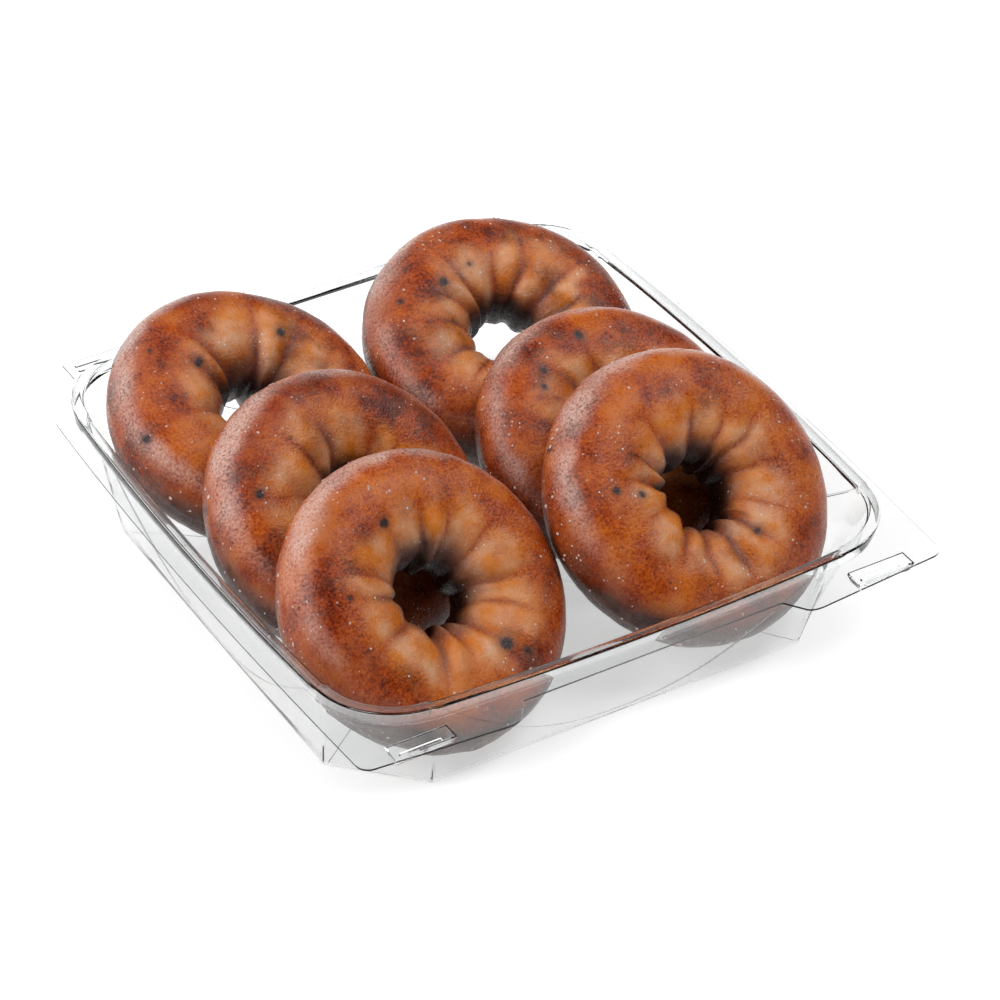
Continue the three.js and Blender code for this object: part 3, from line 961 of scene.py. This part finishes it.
# ------------------------------------------------------------------------------------ tray
@dataclass
class Tray:
    """The thermoformed tray: floor, four creased walls, bead, flange, two tabs and the hinge strip."""

    sheet: float = 0.6
    rim_height: float = 40.0
    flange_height: float = 35.0
    half_width_base: float = 84.2
    base_front: float = -82.7
    base_back: float = 87.5
    base_chamfer: float = 22.8
    base_fillet: float = 1.5
    floor_draw: float = 0.8
    half_width_rim: float = 88.6
    rim_front: float = -92.4
    rim_back: float = 97.5
    rim_corner: float = 22.0
    side_bow: float = 2.2
    bead_width: float = 3.8
    bead_round: float = 0.9
    bead_draft: float = 0.5
    bead_underside: float = 1.0
    lip: float = 1.5
    lip_inset: float = 0.05
    panel_push: float = 0.8
    panel_step: float = 0.7
    crease_low: float = 4.0
    crease_top: float = 38.2
    crease_power: float = 2.3
    side_steps: int = 64
    corner_steps: int = 24

    flange_front: float = -100.6
    flange_half_front: float = 95.6
    flange_half_back: float = 96.6
    flange_swell: float = 98.2
    flange_side_end: float = 78.5
    flange_back_corner: float = 22.5
    tab_root: float = 42.5
    tab_inner: float = 47.5
    tab_lean: float = 1.0
    tab_inner_round: float = 4.0
    tab_front_inner: float = -108.1
    tab_front_outer: float = -105.0
    tab_corner: float = 5.0
    strip_half: float = 81.5
    strip_back: float = 108.1
    curve_steps: int = 14

    button_x: float = 75.6
    button_y: float = -101.5
    button_width: float = 20.0
    button_depth: float = 6.4
    button_drop: float = 2.6
    button_draft: float = 1.2
    rib_length: float = 13.0
    rib_width: float = 1.0
    rib_height: float = 0.9
    crimp_inset: float = 3.0
    crimp_spacing: float = 2.6
    crimp_width: float = 0.7
    crimp_height: float = 0.35
    crimp_flare: float = 0.2
    sharp_deg: float = 32.0
    quarter_points: int = 5
    rings_below_crease: int = 7
    rings_above_crease: int = 9
    last_ring_share: float = 0.999

    def build(self) -> bpy.types.Object:
        """Make the tray as one closed sheet.

        Returns:
            The tray.
        """
        tray = self.shell()
        self.combine(tray, self.flange(), "UNION")
        top = self.flange_height + self.sheet
        low = self.flange_height - self.button_drop
        for side in (-1, 1):
            at = (side * self.button_x, self.button_y)
            size = np.array([self.button_width, self.button_depth])
            button = self.block(at, size, top - self.lip_inset, low, self.button_draft)
            self.combine(tray, button, "UNION")
            pocket = self.block(
                at, size - 2 * self.sheet, top + self.lip_inset, low + self.sheet, self.button_draft
            )
            self.combine(tray, pocket, "DIFFERENCE")
            rib_size = np.array([self.rib_length, self.rib_width])
            rib = self.block(at, rib_size, low + self.sheet + self.rib_height, low, 0.0)
            self.combine(tray, rib, "UNION")
        for line in (0, 1):
            at = (0.0, self.strip_back - self.crimp_inset - line * self.crimp_spacing)
            size = np.array([2 * (self.strip_half - self.crimp_inset), self.crimp_width])
            crimp = self.block(at, size, top + self.crimp_height, top - self.lip_inset, -self.crimp_flare)
            self.combine(tray, crimp, "UNION")
        for polygon in tray.data.polygons:
            polygon.use_smooth = True
        tray.data.set_sharp_from_angle(angle=math.radians(self.sharp_deg))
        return tray

    def combine(self, base: bpy.types.Object, other: bpy.types.Object, operation: str) -> None:
        """Join another closed piece to the base, or cut it out of it.

        Args:
            base: The piece that is kept.
            other: The piece that is used up.
            operation: UNION or DIFFERENCE.
        """
        modifier = base.modifiers.new("cut", "BOOLEAN")
        modifier.operation = operation
        modifier.solver = "MANIFOLD"
        modifier.object = other
        bpy.context.view_layer.update()
        evaluated = base.evaluated_get(bpy.context.evaluated_depsgraph_get())
        joined = bpy.data.meshes.new_from_object(evaluated)
        base.modifiers.clear()
        base.data = joined
        joined.name = base.name
        bpy.data.objects.remove(other)

    def columns(self) -> dict[str, Array]:
        """Work out the wall's columns, anticlockwise from the front side's left end.

        Returns:
            For each column, where it stands on the floor's outline and on the mouth's, which way is
            out at both, how far the floor's flat draws in, how high the crease crosses it, and how far
            it is pushed out above that.
        """
        base, rim, out_base, out_rim, draw, crease, push = [], [], [], [], [], [], []
        corners = [self.corner(turn) for turn in range(4)]
        for turn, corner in enumerate(corners):
            before = corners[turn - 1]
            out = np.array([math.cos(corner["angle"]), math.sin(corner["angle"])])
            along = np.linspace(0, 1, self.side_steps + 1)[:, None]
            from_middle = np.abs(2 * along - 1)
            bow = self.side_bow * (1 - from_middle**2)
            rim_from = before["centre"] + self.rim_corner * out
            rim_to = corner["centre"] + self.rim_corner * out
            base.append(before["cut_end"] * (1 - along) + corner["cut_start"] * along)
            rim.append(rim_from * (1 - along) + rim_to * along + bow * out)
            out_base.append(np.tile(out, (self.side_steps + 1, 1)))
            out_rim.append(np.tile(out, (self.side_steps + 1, 1)))
            draw.append(self.floor_draw * (1 - from_middle[:, 0] ** 2))
            rise = self.crease_top - self.crease_low
            crease.append(self.crease_low + rise * from_middle[:, 0] ** self.crease_power)
            push.append(np.full(self.side_steps + 1, self.panel_push))

            along = (np.arange(1, self.corner_steps) / self.corner_steps)[:, None]
            angle = corner["angle"] + along[:, 0] * math.pi / 2
            ways = np.stack([np.cos(angle), np.sin(angle)], axis=-1)
            middle = corner["angle"] + math.pi / 4
            base.append(corner["cut_start"] * (1 - along) + corner["cut_end"] * along)
            rim.append(corner["centre"] + self.rim_corner * ways)
            out_base.append(np.tile([math.cos(middle), math.sin(middle)], (len(along), 1)))
            out_rim.append(ways)
            draw.append(self.floor_draw * (1 - (2 * along[:, 0] - 1) ** 2))
            crease.append(np.full(len(along), self.crease_top))
            push.append(np.zeros(len(along)))
        return {
            "base": np.concatenate(base),
            "rim": np.concatenate(rim),
            "out_base": np.concatenate(out_base),
            "out_rim": np.concatenate(out_rim),
            "draw": np.concatenate(draw),
            "crease": np.concatenate(crease),
            "push": np.concatenate(push),
        }

    def corner(self, turn: int) -> dict[str, object]:
        """Describe a corner, anticlockwise from the front right one.

        Args:
            turn: The corner's number.

        Returns:
            The two points between which the floor's corner is cut off, the centre of the mouth's round
            corner, and the angle at which that starts.
        """
        side = 1 if turn < 2 else -1
        at_front = turn in (0, 3)
        inward = 1 if at_front else -1
        base_y = self.base_front if at_front else self.base_back
        rim_y = self.rim_front if at_front else self.rim_back
        cut = [
            np.array([side * (self.half_width_base - self.base_chamfer), base_y]),
            np.array([side * self.half_width_base, base_y + inward * self.base_chamfer]),
        ]
        if turn % 2 == 1:
            cut.reverse()
        centre_x = side * (self.half_width_rim - self.rim_corner)
        return {
            "cut_start": cut[0],
            "cut_end": cut[1],
            "centre": np.array([centre_x, rim_y + inward * self.rim_corner]),
            "angle": (turn - 1) * math.pi / 2,
        }

    def ring(
        self, columns: dict[str, Array], height: Array | float, offset: Array | float, push: float
    ) -> Array:
        """Give one point on each column.

        Args:
            columns: The wall's columns.
            height: Height of the point on each column.
            offset: How far the point is outside the wall's outer face.
            push: Share of the panel's push that the point has.

        Returns:
            One row for each column.
        """
        height = np.broadcast_to(height, columns["crease"].shape)
        share = (height / self.rim_height)[:, None]
        out = columns["out_base"] * (1 - share) + columns["out_rim"] * share
        out /= np.linalg.norm(out, axis=1, keepdims=True)
        at = columns["base"] * (1 - share) + columns["rim"] * share
        at = at + out * (offset + push * columns["push"])[:, None]
        return np.column_stack([at, height])

    def fillet_ring(self, columns: dict[str, Array], turn: float, base: float, offset: float) -> Array:
        """Give one ring of the round between floor and wall.

        Args:
            columns: The wall's columns.
            turn: Angle round the fillet, zero at the floor.
            base: Height of the floor's face.
            offset: How far the face is outside the wall's outer face.

        Returns:
            One row for each column.
        """
        inset = self.base_fillet + columns["draw"]
        height = base + self.base_fillet * (1 - math.cos(turn))
        return self.ring(columns, height, offset - inset * (1 - math.sin(turn)), 0.0)

    def wall(self, columns: dict[str, Array], offset: float) -> list[Array]:
        """Give the rings of one face of the wall, from the floor's round up to the bead.

        Args:
            columns: The wall's columns.
            offset: How far the face is outside the wall's outer face.

        Returns:
            The rings, lowest first.
        """
        crease = columns["crease"]
        start = self.base_fillet - offset
        below = crease - self.panel_step / 2
        above = crease + self.panel_step / 2
        end = self.rim_height - self.bead_round
        lower = np.linspace(0, 1, self.rings_below_crease)
        upper = np.linspace(0, self.last_ring_share, self.rings_above_crease)
        rings = [self.ring(columns, start + (below - start) * share, offset, 0.0) for share in lower]
        rings.append(self.ring(columns, crease, offset, 0.5))
        rings += [self.ring(columns, above + (end - above) * share, offset, 1.0) for share in upper]
        return rings

    def shell(self) -> bpy.types.Object:
        """Make the floor, the wall and the bead as one closed skin.

        Returns:
            The shell.
        """
        columns = self.columns()
        quarter = np.linspace(0, math.pi / 2, self.quarter_points)
        inner = [self.fillet_ring(columns, turn, self.sheet, -self.sheet) for turn in quarter[:-1]]
        inner += self.wall(columns, -self.sheet)
        width = self.bead_width - self.sheet
        rounding = self.bead_round
        bead = [
            self.ring(
                columns,
                self.rim_height - rounding * (1 - math.sin(turn)),
                -self.sheet + rounding * (1 - math.cos(turn)),
                1.0,
            )
            for turn in quarter[1:]
        ]
        bead += [
            self.ring(
                columns,
                self.rim_height - rounding * (1 - math.cos(turn)),
                width - rounding * (1 - math.sin(turn)),
                0.5,
            )
            for turn in quarter
        ]
        top = self.flange_height + self.sheet - self.lip_inset
        under = self.flange_height + self.lip_inset
        bead += [
            self.ring(columns, top, width + self.bead_draft, 0.0),
            self.ring(columns, top, width + self.lip, 0.0),
            self.ring(columns, under, width + self.lip, 0.0),
            self.ring(columns, under, width + self.bead_draft - self.sheet, 0.0),
            self.ring(columns, self.rim_height - self.sheet, width - self.sheet, 0.5),
            self.ring(columns, self.rim_height - self.sheet, self.bead_underside, 0.5),
        ]
        outer = [self.fillet_ring(columns, turn, 0.0, 0.0) for turn in quarter[:-1]]
        below_bead = self.rim_height - self.sheet
        outer += [ring for ring in self.wall(columns, 0.0) if ring[:, 2].max() < below_bead]
        rings = inner + bead + outer[::-1]
        count = len(columns["crease"])
        points = np.concatenate(rings)
        middle = (self.base_front + self.base_back) / 2
        first = len(points)
        points = np.vstack([points, [0, middle, self.sheet], [0, middle, 0]])
        faces = grid_faces(len(rings), count, close_rows=False)
        top_ring = (len(rings) - 1) * count
        for column in range(count):
            after = (column + 1) % count
            faces.append((after, column, first))
            faces.append((top_ring + column, top_ring + after, first + 1))
        made = mesh_object("clear_tray", points, faces)
        made.data.flip_normals()
        return made

    def flange_outline(self) -> Array:
        """Draw the die-cut outline of the flange, anticlockwise from the middle of its front.

        Returns:
            The outline's points.
        """
        share = np.linspace(0, 1, self.curve_steps)[:, None]

        def bend(start: tuple, control: tuple, end: tuple) -> Array:
            """Bend from start to end, pulled to the control point."""
            a, b, c = (np.array(p, float) for p in (start, control, end))
            return a * (1 - share) ** 2 + 2 * b * share * (1 - share) + c * share**2

        lean_x = self.tab_inner - self.tab_lean
        inner_y = self.tab_front_inner
        front = self.flange_half_front
        outer_y = self.tab_front_outer
        corner_x = self.flange_half_back - self.flange_back_corner
        end_angle = math.acos((self.strip_half - corner_x) / self.flange_back_corner)
        turn = np.linspace(0, end_angle, self.curve_steps)
        right = [
            np.array([[0.0, self.flange_front], [self.tab_root, self.flange_front]]),
            bend(
                (lean_x, inner_y + self.tab_inner_round / 2),
                (self.tab_inner, inner_y),
                (self.tab_inner + self.tab_inner_round, inner_y),
            ),
            bend(
                (front - self.tab_corner, outer_y),
                (front, outer_y),
                (front, outer_y + self.tab_corner),
            ),
            bend(
                (front, outer_y + self.tab_corner),
                (2 * self.flange_swell - front, 0.0),
                (self.flange_half_back, self.flange_side_end),
            )[1:],
            np.column_stack(
                [
                    corner_x + self.flange_back_corner * np.cos(turn),
                    self.flange_side_end + self.flange_back_corner * np.sin(turn),
                ]
            )[1:],
            np.array([[self.strip_half, self.strip_back], [0.0, self.strip_back]]),
        ]
        half = np.concatenate(right)
        return np.concatenate([half, half[-2:0:-1] * np.array([-1.0, 1.0])])

    def flange(self) -> bpy.types.Object:
        """Make the flat plate around the bead, with its tabs and hinge strip.

        Returns:
            The plate, as a closed piece.
        """
        inside = self.bead_width - self.sheet + (self.lip + self.bead_draft) / 2
        hole = self.ring(self.columns(), self.flange_height, inside, 0.0)[:, :2]
        made = bmesh.new()
        for loop in (self.flange_outline(), hole):
            corners = [made.verts.new((x * MM, y * MM, self.flange_height * MM)) for x, y in loop]
            for start, end in zip(corners, corners[1:] + corners[:1]):
                made.edges.new((start, end))
        bmesh.ops.triangle_fill(made, use_beauty=True, edges=made.edges[:])
        lifted = bmesh.ops.extrude_face_region(made, geom=made.faces[:])
        moved = [part for part in lifted["geom"] if isinstance(part, bmesh.types.BMVert)]
        bmesh.ops.translate(made, verts=moved, vec=(0, 0, self.sheet * MM))
        bmesh.ops.recalc_face_normals(made, faces=made.faces[:])
        mesh = bpy.data.meshes.new("flange")
        made.to_mesh(mesh)
        made.free()
        plate = bpy.data.objects.new("flange", mesh)
        bpy.context.scene.collection.objects.link(plate)
        return plate

    def block(
        self, at: tuple[float, float], size: Array, top: float, low: float, draft: float
    ) -> bpy.types.Object:
        """Make a small block with a smaller bottom: a snap button, its pocket, a rib or a crimp.

        Args:
            at: Where its middle stands.
            size: Width and depth of its top face.
            top: Height of its top face.
            low: Height of its bottom face.
            draft: How much narrower each side of its bottom face is.

        Returns:
            The block.
        """
        signs = np.array([(-1, -1), (1, -1), (1, 1), (-1, 1)])
        points = [
            np.column_stack([at + signs * (size / 2 - shrink), np.full(4, height)])
            for height, shrink in ((low, draft), (top, 0.0))
        ]
        faces = [(3, 2, 1, 0), (4, 5, 6, 7)]
        faces += [(i, (i + 1) % 4, (i + 1) % 4 + 4, i + 4) for i in range(4)]
        return mesh_object("block", np.vstack(points), faces)

    def dress(self, tray: bpy.types.Object, sheet: bpy.types.Material) -> None:
        """Give the tray its clear sheet and put it in its node's place."""
        tray.data.materials.clear()
        tray.data.materials.append(sheet)
        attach(tray, BODY)
        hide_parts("tray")


# ------------------------------------------------------------------------------------ studio
@dataclass(frozen=True)
class SoftBox:
    """A square soft box that faces the model, with its size in millimetres and its power in watts."""

    name: str
    azimuth_deg: float
    elevation_deg: float
    size: float
    watts: float
    distance: float = 1400.0

    def hang(self, middle: Vector) -> None:
        """Hang the soft box.

        Args:
            middle: The middle of the model.
        """
        data = bpy.data.lights.new(self.name, "AREA")
        data.shape = "SQUARE"
        data.size = self.size * MM
        data.energy = self.watts
        made = bpy.data.objects.new(self.name, data)
        bpy.context.scene.collection.objects.link(made)
        away = direction(self.azimuth_deg, self.elevation_deg)
        made.location = middle + away * self.distance * MM
        made.rotation_euler = away.to_track_quat("Z", "Y").to_euler()


SOFT_BOXES = (
    SoftBox("soft_box_left", -100.0, 38.0, 700.0, 10.5),
    SoftBox("soft_box_right", 75.0, 58.0, 700.0, 9.0),
    SoftBox("soft_box_back", -170.0, 45.0, 1000.0, 4.5),
)


@dataclass
class Studio:
    """A plain white sweep under soft boxes, seen through a long lens from the front left corner."""

    azimuth_deg: float = -30.6
    elevation_deg: float = 36.9
    distance: float = 1255.8
    aim_right: float = 9.4
    aim_down: float = 17.5
    lens: float = 151.7
    sensor: float = 36.0
    clip_end: float = 20.0
    sweep_size: float = 6000.0
    surround: float = 0.13

    def middle(self) -> Vector:
        """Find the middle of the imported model."""
        low, high = (Vector(corner) for corner in cad_box)
        return (low + high) / 2

    def camera(self) -> None:
        """Make the camera and set it as the scene's."""
        data = bpy.data.cameras.new("camera")
        data.lens = self.lens
        data.sensor_width = self.sensor
        data.clip_end = self.clip_end
        made = bpy.data.objects.new("camera", data)
        bpy.context.scene.collection.objects.link(made)
        aim = self.middle() + Vector((self.aim_right, 0.0, -self.aim_down)) * MM
        away = direction(self.azimuth_deg, self.elevation_deg)
        made.location = aim + away * self.distance * MM
        made.rotation_euler = away.to_track_quat("Z", "Y").to_euler()
        bpy.context.scene.camera = made

    def build(self) -> bpy.types.Object:
        """Set up the camera, the lights, the surround and the sweep.

        Returns:
            The sweep.
        """
        self.camera()
        for soft_box in SOFT_BOXES:
            soft_box.hang(self.middle())
        world = bpy.data.worlds.new("surround")
        bpy.context.scene.world = world
        world.use_nodes = True
        world.node_tree.nodes["Background"].inputs["Color"].default_value = linear("#ffffff")
        world.node_tree.nodes["Background"].inputs["Strength"].default_value = self.surround
        bpy.context.scene.view_settings.view_transform = "Standard"
        half = self.sweep_size / 2
        corners = np.array([[-half, -half, 0], [half, -half, 0], [half, half, 0], [-half, half, 0]])
        sweep = mesh_object("white_sweep", corners, [(0, 1, 2, 3)])
        sweep.data.materials.append(PaleFloor().build())
        return sweep


# ------------------------------------------------------------------------------------ the box
SUGAR = (
    DriedSugar(
        "glaze_flakes",
        seed=5,
        per_ring=60,
        smallest=0.3,
        largest=0.9,
        flatness=0.3,
        sides=6,
        lowest_deg=-6,
        highest_deg=9,
    ),
    DriedSugar(
        "sugar_clumps",
        seed=7,
        per_ring=45,
        smallest=0.2,
        largest=0.6,
        flatness=0.6,
        sides=6,
        lowest_deg=6,
        highest_deg=85,
    ),
    DriedSugar(
        "sugar_grains",
        seed=6,
        per_ring=220,
        smallest=0.08,
        largest=0.18,
        flatness=0.8,
        sides=4,
        lowest_deg=5,
        highest_deg=150,
    ),
)
DOUGHNUTS = (
    Doughnut(
        "front_left",
        seed=11,
        flutes=12,
        berries=(
            BerrySpot(115, 95, 1.5),
            BerrySpot(300, 98, 2.2),
            BerrySpot(305, 82, 1.0),
            BerrySpot(165, -15, 1.1),
            BerrySpot(350, 45, 0.9),
            BerrySpot(170, 80, 0.7),
        ),
    ),
    Doughnut(
        "front_right",
        seed=23,
        flutes=13,
        crease_depth=2.2,
        browning=0.02,
        berries=(
            BerrySpot(300, 110, 1.3),
            BerrySpot(172, 102, 1.3),
            BerrySpot(168, 82, 1.2),
            BerrySpot(145, 2, 1.0),
        ),
    ),
    Doughnut(
        "middle_left",
        seed=37,
        flutes=11,
        crease_depth=1.4,
        browning=0.05,
        berries=(BerrySpot(162, 70, 1.4), BerrySpot(162, -5, 1.3)),
    ),
    Doughnut(
        "middle_right",
        seed=41,
        flutes=12,
        crease_depth=1.4,
        browning=0.07,
        berries=(BerrySpot(95, 78, 1.7), BerrySpot(130, 80, 1.5), BerrySpot(140, 85, 1.2)),
    ),
    Doughnut(
        "back_left",
        seed=53,
        flutes=10,
        crease_depth=1.6,
        browning=0.1,
        berries=(
            BerrySpot(185, 35, 1.4),
            BerrySpot(135, 105, 1.7),
            BerrySpot(50, 98, 1.5),
            BerrySpot(140, 60, 0.8),
        ),
    ),
    Doughnut(
        "back_right",
        seed=67,
        flutes=13,
        browning=0.1,
        berries=(BerrySpot(128, 95, 1.4), BerrySpot(150, 63, 1.0), BerrySpot(100, 100, 0.9)),
    ),
)


def main() -> None:
    """Build the studio, the tray and what is in it."""
    logging.basicConfig(level=logging.INFO, format="%(message)s")
    Studio().build()
    tray = Tray()
    shell = tray.build()
    tray.dress(shell, ClearPet().build())
    LOG.info("%s: %d faces", shell.name, len(shell.data.polygons))
    crust = FriedCrust().build()
    for doughnut in DOUGHNUTS:
        ring = doughnut.build()
        doughnut.dress(ring, crust)
        LOG.info("%s: %d faces", ring.name, len(ring.data.polygons))
    glaze = DriedGlaze().build()
    for bits in SUGAR:
        piece = bits.build(DOUGHNUTS)
        bits.dress(piece, glaze)
        LOG.info("%s: %d faces", piece.name, len(piece.data.polygons))


if __name__ == "__main__":
    main()
